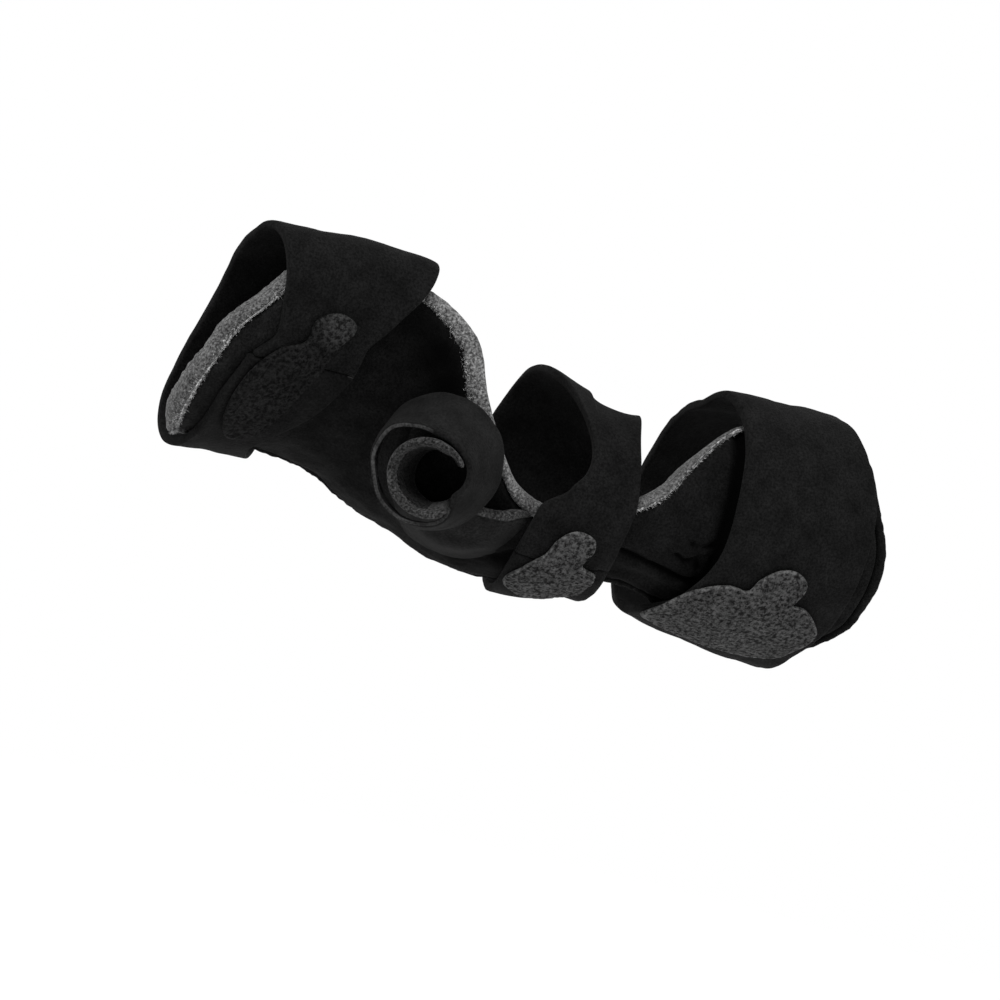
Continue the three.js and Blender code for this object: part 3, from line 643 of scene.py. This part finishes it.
def build_lining():
    row_lines, column_lines = (lines(count, RIM_ROLL["inset"]) for count in LINING_CELLS)
    place, turn, rank = trough_net(row_lines, column_lines)
    skin = trough_point(place, turn, 0)
    bumps = ripples(skin, LINING_BUMPS)
    wave = np.where(rank == 0, 0, bumps)
    outer_wave = np.where((rank >= RIM_FIRST) & (rank <= RIM_LAST), RIM_BUMPS * bumps, 0)
    outer = trough_point(place, turn, np.append(RIM_ROLL["out"], LINING)[rank] + outer_wave)
    inner = trough_point(place, turn, np.append(RIM_ROLL["into"], 0)[rank] + wave)
    points, faces, ranks, sides = sheet_mesh(rank, outer, inner)
    rows, columns = rank.shape[0] - 1, rank.shape[1] - 1
    row, column = (np.tile(ids.ravel(), 2) for ids in np.indices((rows, columns)))
    place = 2 * row_lines[0][row] - 1
    bound = (row >= rows - BOUND_CELLS) | (column <= BOUND_CELLS) & (place > BOUND_FROM)
    fray_first = np.where((row < PAN_CELLS) | (place > 0), FRAY_FIRST, FRAY_FIRST_AT_PALM)
    frayed = (sides == 0) & (ranks <= FRAY_LAST) & (ranks >= fray_first)
    at_web = (column >= columns - WEB_CELLS) & (place > WEB_FROM) & (place < WEB_TO)
    cloths = [TERRY, FRAY, BLACK, LIT_TERRY]
    black, fray, web = (cloths.index(cloth) for cloth in (BLACK, FRAY, LIT_TERRY))
    kind = np.select([bound, frayed, at_web], [black, fray, web], cloths.index(TERRY))
    hairs, hair_faces = strands(len(points))
    points = np.concatenate([points, hairs])
    kind = np.concatenate([kind, np.full(len(hair_faces), fray)])
    return new_piece("trough_lining", points, faces + hair_faces, cloths, kind,
                     "body_lining")


# Straps and tabs


# Insets of a strap's edge lines, its fullness on each line and inside them, and about how wide each
# strap is.
STRAP_EDGE = (0.0, 0.05, 0.35, 0.9, 1.8)
STRAP_HIGH = np.array([0.0, 0.62, 0.88, 0.98, 1.0, 1.0])
STRAP_WIDTH = {"finger": 0.3 * HAND, "wrist": 0.13 * HAND, "forearm": 0.6 * FOREARM}
STRAP_SEED = {"finger": 31, "wrist": 41, "forearm": 51}
# Half of the seam between a strap's two ends, in degrees.
LAP_GAP = 0.15
# The wrist strap's sharp bend is eased in this many rounds, round this turn and over these degrees.
EASE_ROUNDS, EASE_TURN, EASE_WIDTH = 220, 90, 30


def strap_swell(kind, place, turn):
    """How far a strap's outer face stands out further, in soft waves."""
    seed = STRAP_SEED[kind]
    points = trough_point(place, turn, PAD)
    return 0.35 * (1 + ripple(points, 30, seed)) + 0.12 * ripple(points, 9, seed + 1)


def build_strap(kind):
    """Strap with rolled edges, whose two ends meet under its tab. The cloth's light cut line is drawn
    only on the proximal edge of the two broad straps; on the edges that lie in shade it is left out, a
    painted shade."""
    rows = STRAPS[kind]
    first, last = rows["turn"][0], rows["turn"][-1]
    length = (last - first) * math.pi / 180 * HALF_WIDTH
    turn_share, turn_inset, turn_rank = lines(STRAP_CELLS[0], STRAP_EDGE)
    edge_share, edge_inset, edge_rank = lines(STRAP_CELLS[1], STRAP_EDGE)
    turn_share = turn_share + turn_inset / length
    edge_share = edge_share + edge_inset / STRAP_WIDTH[kind]
    lap = (360 - last + first) / 2 - LAP_GAP
    turn = (first - lap + (last - first + 2 * lap) * turn_share)[:, None]
    distal, proximal = smooth(rows, "distal", turn), smooth(rows, "proximal", turn)
    place = distal + (proximal - distal) * edge_share[None]
    turn = np.broadcast_to(turn, place.shape)
    full = STRAP_HIGH[turn_rank][:, None] * STRAP_HIGH[edge_rank][None]
    swell = strap_swell(kind, place, turn)
    middle = strap_stand(rows, place, turn) + STRAP / 2 + 0.5 * swell
    outer = trough_point(place, turn, middle + full * (STRAP + swell) / 2)
    inner = trough_point(place, turn, middle - full * STRAP / 2)
    if kind == "wrist":
        free = np.exp(-((turn[:, :1] - EASE_TURN) / EASE_WIDTH) ** 2)[1:-1, :, None]
        for _ in range(EASE_ROUNDS):
            for grid in (outer, inner):
                grid[1:-1] += free * ((grid[:-2] + grid[2:]) / 2 - grid[1:-1]) / 2
    rank = np.minimum(turn_rank[:, None], edge_rank[None])
    points, faces, ranks, sides = sheet_mesh(rank, outer, inner)
    proximal_half = np.tile(edge_rank[1:] < edge_rank[:-1], 2 * (len(turn_rank) - 1))
    # Cut line only on the proximal edges; left out on the edges in shade, as painted shade.
    cut = (ranks == 1) & (sides == 0) & proximal_half & (kind != "wrist")
    return new_piece(kind + "_wrap", points, faces, [STRAP_BLACK, CUT_EDGE], cut.astype(int),
                     kind + "_strap")


def closed_curve(corners, count):
    """Smooth closed curve through the corners, evenly spaced by length."""
    steps = 24
    loop = []
    for i in range(len(corners)):
        a, b, c, d = (corners[(i + k - 1) % len(corners)] for k in range(4))
        for t in np.arange(steps) / steps:
            loop.append(0.5 * (2 * b + (c - a) * t + (2 * a - 5 * b + 4 * c - d) * t ** 2
                               + (3 * b - a - 3 * c + d) * t ** 3))
    loop = np.array(loop + loop[:1])
    run = np.concatenate([[0], np.cumsum(np.linalg.norm(np.diff(loop, axis=0), axis=1))])
    at = np.arange(count) / count * run[-1]
    return np.stack([np.interp(at, run, loop[:, k]) for k in range(2)], axis=-1)


# Middles of the tabs, as place and turn, and about how many millimetres a degree of turn is there.
TAB_HUBS = {"finger": (-0.80, 4), "wrist": (-0.05, -16), "forearm": (0.60, -11)}
TAB_DEGREE = 0.8
# Rings of a tab from its hub to its rim: share of the way and fullness. The last of them are its brim.
TAB_RINGS = table("share high", [
    [0.0, 1], [0.12, 1], [0.25, 1], [0.4, 1], [0.55, 1], [0.68, 1], [0.78, 1], [0.86, 1], [0.92, 1],
    [0.955, 1], [0.975, 0.96], [0.99, 0.8], [1.0, 0.0],
])
BRIM_RINGS = 4
# How much closer to its strap a tab lies than the two solids do.
TAB_SINK = 0.2
TAB_BUMPS = ((0.16, 1.7, 61), (0.1, 4, 62))


def build_tab(kind, hub):
    """Grip tab: a flat lobed piece that lies on its strap."""
    rows, outline = STRAPS[kind], TABS[kind]
    scale = np.array([FOREARM if kind == "forearm" else HAND, TAB_DEGREE])
    corners = np.stack([outline["place"], outline["turn"]], axis=-1) * scale
    rim = closed_curve(corners, TAB_RIM_CELLS)
    hub = np.array(hub) * scale
    flat = hub + (rim[None] - hub) * TAB_RINGS["share"][:, None, None]
    place, turn = flat[..., 0] / scale[0], flat[..., 1] / scale[1]
    on_strap = np.where(turn < rows["turn"][0], turn + 360, turn)
    stand = (strap_stand(rows, place, turn) + STRAP + strap_swell(kind, place, on_strap)
             + TAB_CLEAR - TAB_SINK)
    middle = stand + TAB / 2
    high = TAB_RINGS["high"][:, None]
    rough = ripples(trough_point(place, turn, middle), TAB_BUMPS)
    top = trough_point(place, turn, middle + high * (TAB / 2 + rough))
    under = trough_point(place, turn, middle - high * TAB / 2)
    rings, count = place.shape
    top_id = np.arange(rings * count).reshape(rings, count)
    top_id[0] = 0
    under_id = rings * count + np.arange(rings * count).reshape(rings, count)
    under_id[0] = rings * count
    under_id[-1] = top_id[-1]
    points = np.concatenate([top.reshape(-1, 3), under.reshape(-1, 3)])
    faces, brim = [], []
    for ids in (top_id, under_id):
        for i in range(rings - 1):
            for j in range(count):
                k = (j + 1) % count
                face = [ids[i, j], ids[i + 1, j], ids[i + 1, k], ids[i, k]]
                faces.append([int(v) for v in (face[:3] if i == 0 else face)])
                brim.append(int(i >= rings - BRIM_RINGS))
    used = np.unique(np.concatenate([np.array(face) for face in faces]))
    number = np.full(len(points), -1)
    number[used] = np.arange(len(used))
    faces = [[int(number[v]) for v in face] for face in faces]
    # The finger tab takes the grip cloth darkened with painted shade.
    cloths = [SHADED_GRIP, SHADED_GRIP] if kind == "finger" else [GRIP, GRIP_EDGE]
    return new_piece(kind + "_grip_tab", points[used], faces, cloths, brim,
                     kind + "_tab")


# Thumb channel and ring


ELBOWWARD = np.array([1.0, 0, 0]) - THUMB_AXIS[0] * THUMB_AXIS
ELBOWWARD /= np.linalg.norm(ELBOWWARD)
SIDEWARD = np.cross(THUMB_AXIS, ELBOWWARD)
# How far the channel's foot sits in the cover.
SEAT_SINK = 0.8


def point_round(centre, radius, bearing):
    angle = np.radians(bearing)
    across = (radius * np.cos(angle))[..., None] * ELBOWWARD
    return centre + across + (radius * np.sin(angle))[..., None] * SIDEWARD


def channel_centre(reach):
    shares = (smooth(CHANNEL, key, reach)[..., None] for key in ("back", "elbow", "side"))
    back, elbow, side = (share * THUMB_REACH for share in shares)
    return TIP - back * THUMB_AXIS + elbow * ELBOWWARD + side * SIDEWARD


def channel_point(reach, share, inside):
    """Point of the thumb channel's wall, a distance inside its outer face."""
    first = CHANNEL["reach"][0]
    ends = {
        "reach": np.concatenate([[0], CHANNEL["reach"]]),
        "open": np.concatenate([[FOOT_OPEN], CHANNEL["open"]]),
        "shut": np.concatenate([[FOOT_SHUT], CHANNEL["shut"]]),
    }
    opened, shut = smooth(ends, "open", reach), smooth(ends, "shut", reach)
    bearing = opened + (shut - opened) * share
    ring = np.maximum(reach, first)
    radius = THUMB_RADIUS * smooth(CHANNEL, "radius", ring) - inside
    wall = point_round(channel_centre(ring), radius, bearing)
    place, turn = smooth(SEAT, "place", bearing), smooth(SEAT, "turn", bearing)
    seat = trough_point(place, turn, PAD - SEAT_SINK)
    inward = unit(channel_centre(np.full(reach.shape, first)) - seat)
    seat = seat + inward * np.asarray(inside)[..., None]
    share_up = np.clip(reach / first, 0, 1)[..., None]
    return np.where(reach[..., None] >= first, wall, seat + (wall - seat) * share_up)


# Profiles of the thumb channel's tip: distance back from the rim, and how far inside the outer face
# the wall's outer and inner faces run there. Under the cover the lining starts at LINED.
COVER_TIP = table("back outer inner", [
    [0.0, 1.0, 1.0], [0.1, 0.4, 1.6], [0.35, 0.1, 1.9], [0.8, 0.0, THUMB_COVER],
    [1.6, 0.0, THUMB_COVER],
])
LINED = THUMB_COVER + GAP
LINING_TIP = table("back outer inner", [
    [0.0, 0.7, 0.7], [0.1, 0.05, 1.3], [0.35, -0.45, 1.8], [0.8, -0.75, 2.3], [1.4, -0.7, 2.7],
    [2.0, -0.2, 3.0], [2.2, 0.5, 3.2], [2.6, LINED, 3.35], [3.6, LINED, 3.7], [5.0, LINED, 4.1],
    [7.0, LINED, 4.5], [9.5, LINED, LINED + THUMB_LINING],
])
# Insets of the channel's edge lines and its fullness on each line and inside them, its last rings at
# the foot, which start a little past the last ring of the wall, and its length round the tip.
CHANNEL_EDGE = (0.0, 0.15, 0.5, 1.1, 2.2, 2.6)
CHANNEL_HIGH = np.array([0.0, 0.6, 0.92, 1.0, 1.0, 1.0, 1.0])
CHANNEL_FOOT, FOOT_HIGH = np.array([1.1, 0.5, 0.15, 0.0]), (1.0, 0.92, 0.6, 0.0)
FOOT_START = 1.2
CHANNEL_ARC = math.radians(282) * THUMB_RADIUS
# Along the shut edge the cover stops this far short, and the lining turns out over this much, with a
# soft step. Towards the open edge the lining grows thinner by the first of these, over the second.
SHUT_STEP, SHUT_ROLL, SHUT_FADE = 2.6, 2.2, 0.4
OPEN_THINNER, OPEN_WIDTH = 2.0, 9
# The wall's middle rings are eased in this many rounds, apart from these at the tip and the foot.
CHANNEL_ROUNDS, TIP_KEPT, FOOT_KEPT = 26, 15, 5
# Length of the tip's lip, and its bumps outside as a share of those inside.
LIP_LENGTH, LIP_BUMPS = 2.3, 0.3
# Rim cloth: rings at the tip on the inner and the outer face, and how far it reaches in from the
# lining's shut edge. In the lining that cloth is the terry with less painted shade than the rest of the
# channel's lining; in the cover it is the light cut edge.
RIM_RINGS_IN, RIM_RINGS_OUT, RIM_REACH = 5, 4, 9


def build_channel(name, node, profile, short, materials, bumps):
    """Wall of the thumb channel. short is how far its rim stands back from the channel's tip: the
    cover's does, and the lining's doesn't."""
    wall_middle = (profile["outer"][-1] + profile["inner"][-1]) / 2
    tip_back = profile["back"] + short
    rest = np.linspace(0, 1, CHANNEL_CELLS[0])[1:-1] ** 0.9
    wall_back = tip_back[-1] + (THUMB_REACH - FOOT_START - tip_back[-1]) * rest
    back = np.concatenate([tip_back, wall_back, THUMB_REACH - CHANNEL_FOOT])
    foot = np.concatenate([np.ones(len(back) - len(FOOT_HIGH)), FOOT_HIGH])
    outer_in = np.interp(back - short, profile["back"], profile["outer"])
    inner_in = np.interp(back - short, profile["back"], profile["inner"])
    outer_in = (wall_middle - (wall_middle - outer_in) * foot)[:, None]
    inner_in = (wall_middle + (inner_in - wall_middle) * foot)[:, None]
    round_share, round_inset, round_rank = lines(CHANNEL_CELLS[1], CHANNEL_EDGE)
    share = np.clip(round_share + round_inset / CHANNEL_ARC, 0, 1)[None]
    from_shut, from_open = (1 - share) * CHANNEL_ARC, share * CHANNEL_ARC
    if short:
        share = share * (1 - SHUT_STEP / CHANNEL_ARC)
    else:
        outer_in = outer_in * np.clip((from_shut - SHUT_ROLL) / SHUT_FADE, 0, 1)
        inner_in = inner_in - OPEN_THINNER * np.clip(1 - from_open / OPEN_WIDTH, 0, 1)
    high = CHANNEL_HIGH[round_rank][None]
    reach, share = np.broadcast_arrays(1 - back[:, None] / THUMB_REACH, share)
    middle = (outer_in + inner_in) / 2
    half = (inner_in - outer_in) / 2
    skin = channel_point(reach, share, np.full(reach.shape, wall_middle))
    wave = np.where(half > 0.2, ripples(skin, bumps), 0)
    lip_wave = np.where(back[:, None] < short + LIP_LENGTH, LIP_BUMPS, 0) * wave
    outer = channel_point(reach, share, middle - high * (half - lip_wave))
    inner = channel_point(reach, share, middle + high * (half + wave))
    for _ in range(CHANNEL_ROUNDS):
        for grid in (outer, inner):
            before, after = grid[TIP_KEPT - 1:-FOOT_KEPT - 1], grid[TIP_KEPT + 1:1 - FOOT_KEPT]
            grid[TIP_KEPT:-FOOT_KEPT] = (before + 2 * grid[TIP_KEPT:-FOOT_KEPT] + after) / 4
    rank = np.ones(reach.shape, int)
    rank[0], rank[-1], rank[:, 0], rank[:, -1] = 0, 0, 0, 0
    points, faces, _, sides = sheet_mesh(rank, outer, inner)
    rows = len(back) - 1
    ring = np.tile(np.repeat(np.arange(rows), len(round_rank) - 1), 2)
    at_edge = np.minimum(round_rank[:-1], round_rank[1:]) < 1
    if not short:
        at_edge |= from_shut[0, :-1] < RIM_REACH
    # The lining's rim faces take the terry with less painted shade; the cover's take its light cut edge.
    at_tip = (ring < RIM_RINGS_OUT) | (ring < RIM_RINGS_IN) & (sides == 1)
    frayed = at_tip | np.tile(at_edge, 2 * rows)
    return new_piece(name, points, faces, materials, frayed.astype(int), node)


# How far the ring's tip end flares, in millimetres, by bearing.
FLARE = table("bearing out", [
    [0, 0], [85, 0], [120, 2.6], [150, 5.2], [175, 4.8], [201, 3.5], [235, 3.2], [265, 2.4], [300, 0.8],
    [335, 0], [360, 0],
])
# Shares of the ring's length at its edge lines.
RING_EDGE = (0.0, 0.002, 0.012, 0.03, 0.06)
# How far the ring's tip end bulges in over the channel's open side, at which bearing and how widely,
# and by how much each end of the ring is shifted further than in the solid.
BULGE, BULGE_BEARING, BULGE_WIDTH = 4.6, -12, 17
RING_END_SHIFT = 1
# Bearings over which the ring's tip end shows its cut edge.
CUT_FROM, CUT_TO = 100, 330


def build_ring():
    """Ring of strap round the thumb channel, a cone that opens towards the palm."""
    along, along_inset, along_rank = lines(RING_CELLS[0], RING_EDGE)
    along = along + along_inset
    high = STRAP_HIGH[along_rank]
    turns = RING_CELLS[1]
    bearing = np.arange(turns) / turns * 360
    share = np.broadcast_to(along[:, None], (len(along), turns))
    around = np.broadcast_to(bearing, share.shape)
    centre = TIP - RING_SETBACK * THUMB_AXIS
    back = centre - RING_LENGTH * THUMB_AXIS
    shift_bearing = np.array(RING_SHIFT_BEARING)
    palm = point_round(back, np.array(RING_SHIFT + RING_END_SHIFT), shift_bearing)
    centre = point_round(centre, np.array(float(RING_END_SHIFT)), shift_bearing)
    from_bulge = (bearing - BULGE_BEARING + 180) % 360 - 180
    bulge = BULGE * np.exp(-from_bulge ** 2 / (2 * BULGE_WIDTH ** 2))[None]
    radius = RING_TIP + (RING_PALM - RING_TIP) * share
    radius = radius + (smooth(FLARE, "out", bearing)[None] - bulge * (1 - share)) * (1 - share)
    middle = centre + (palm - centre) * share[..., None]
    sink = share * radius * RING_TILT * np.sin(np.radians(bearing))[None]
    rough = 0.35 * ripple(point_round(middle, radius, around), 16, 71) * high[:, None]

    def skin(depth_in):
        surface = point_round(middle, radius - depth_in[:, None] + rough, around)
        return surface - sink[..., None] * THUMB_AXIS

    outer = skin(RING_THICK / 2 * (1 - high))
    inner = skin(RING_THICK / 2 * (1 + high))
    loop = np.concatenate([outer, inner[1:-1][::-1]])
    count = len(loop)
    ids = np.arange(count * turns).reshape(count, turns)
    following = np.roll(ids, -1, axis=0)
    quad = np.stack([ids, following, np.roll(following, -1, axis=1), np.roll(ids, -1, axis=1)], axis=-1)
    rank = np.concatenate([along_rank, along_rank[1:-1][::-1]])
    low = np.minimum(rank, np.roll(rank, -1))[:, None]
    number = np.arange(count)[:, None]
    at_tip = (number < len(along) / 2) | (number > count - len(along) / 2)
    shown = (bearing > CUT_FROM) & (bearing < CUT_TO)
    cut = np.where(at_tip, (low == 0) & shown[None], (low == 1) & (number < len(along)))
    return new_piece("thumb_ring", loop.reshape(-1, 3), quad.reshape(-1, 4).tolist(),
                     [LIT_RING_BLACK, CUT_EDGE], cut.astype(int).ravel(), "thumb_strap")


pads = [build_cover(), build_lining()]
for strap_kind in STRAPS:
    build_strap(strap_kind)
for tab_kind, tab_hub in TAB_HUBS.items():
    build_tab(tab_kind, tab_hub)
pads.append(build_channel("thumb_channel", "thumb_trough", COVER_TIP, THUMB_LIP + GAP,
                          [LIT_BLACK, CUT_EDGE], ()))
pads.append(build_channel("thumb_channel_lining", "thumb_lining", LINING_TIP, 0,
                          [SHADED_TERRY, HALF_SHADED_TERRY], ((0.22, 9, 91), (0.16, 2.4, 92))))
build_ring()


# Camera, floor and light


def build_camera():
    data = bpy.data.cameras.new("camera")
    data.sensor_width = 36
    data.lens = 117
    data.clip_start = 0.01
    data.clip_end = 50
    camera = bpy.data.objects.new("camera", data)
    bpy.context.scene.collection.objects.link(camera)
    right = Vector((0.851, -0.477, 0.217)).normalized()
    back = Vector((-0.502, -0.862, 0.071)).normalized()
    up = back.cross(right).normalized()
    right = up.cross(back)
    turn = Matrix((right, up, back)).transposed().to_4x4()
    camera.matrix_world = Matrix.Translation(Vector((-0.6854, -1.1025, 0.0799))) @ turn
    bpy.context.scene.camera = camera


def build_floor():
    """Sheet under the splint that fades out all round."""
    half, level = 3.0, -0.30
    corners = [(x * half, y * half, level) for x, y in ((-1, -1), (1, -1), (1, 1), (-1, 1))]
    mesh = bpy.data.meshes.new("floor")
    mesh.from_pydata(corners, [], [(0, 1, 2, 3)])
    floor = bpy.data.objects.new("floor", mesh)
    bpy.context.scene.collection.objects.link(floor)
    material, tree, shader, where = nodes_of("floor_paper")
    shader.inputs["Base Color"].default_value = (0.93, 0.93, 0.93, 1)
    shader.inputs["Roughness"].default_value = 0.9
    away = tree.nodes.new("ShaderNodeVectorMath")
    away.operation = "LENGTH"
    tree.links.new(where, away.inputs[0])
    tree.links.new(add_fade(tree, away.outputs["Value"], 0.45, 0.9), shader.inputs["Alpha"])
    mesh.materials.append(material)


def build_light():
    world = bpy.data.worlds.new("studio")
    world.use_nodes = True
    world.node_tree.nodes["Background"].inputs["Color"].default_value = (1, 1, 1, 1)
    world.node_tree.nodes["Background"].inputs["Strength"].default_value = 1.0
    bpy.context.scene.world = world
    target = Vector((-0.03, 0, 0))
    for name, place, size, power in (
        ("key", (-1.0, -0.7, 1.5), 0.8, 34), ("fill", (0.9, -1.2, 0.5), 1.0, 8),
    ):
        data = bpy.data.lights.new(name, "AREA")
        data.size = size
        data.energy = power
        light = bpy.data.objects.new(name, data)
        bpy.context.scene.collection.objects.link(light)
        light.location = place
        light.rotation_euler = (target - Vector(place)).to_track_quat("-Z", "Y").to_euler()


build_camera()
build_floor()
build_light()
bpy.context.scene.view_settings.view_transform = "Standard"
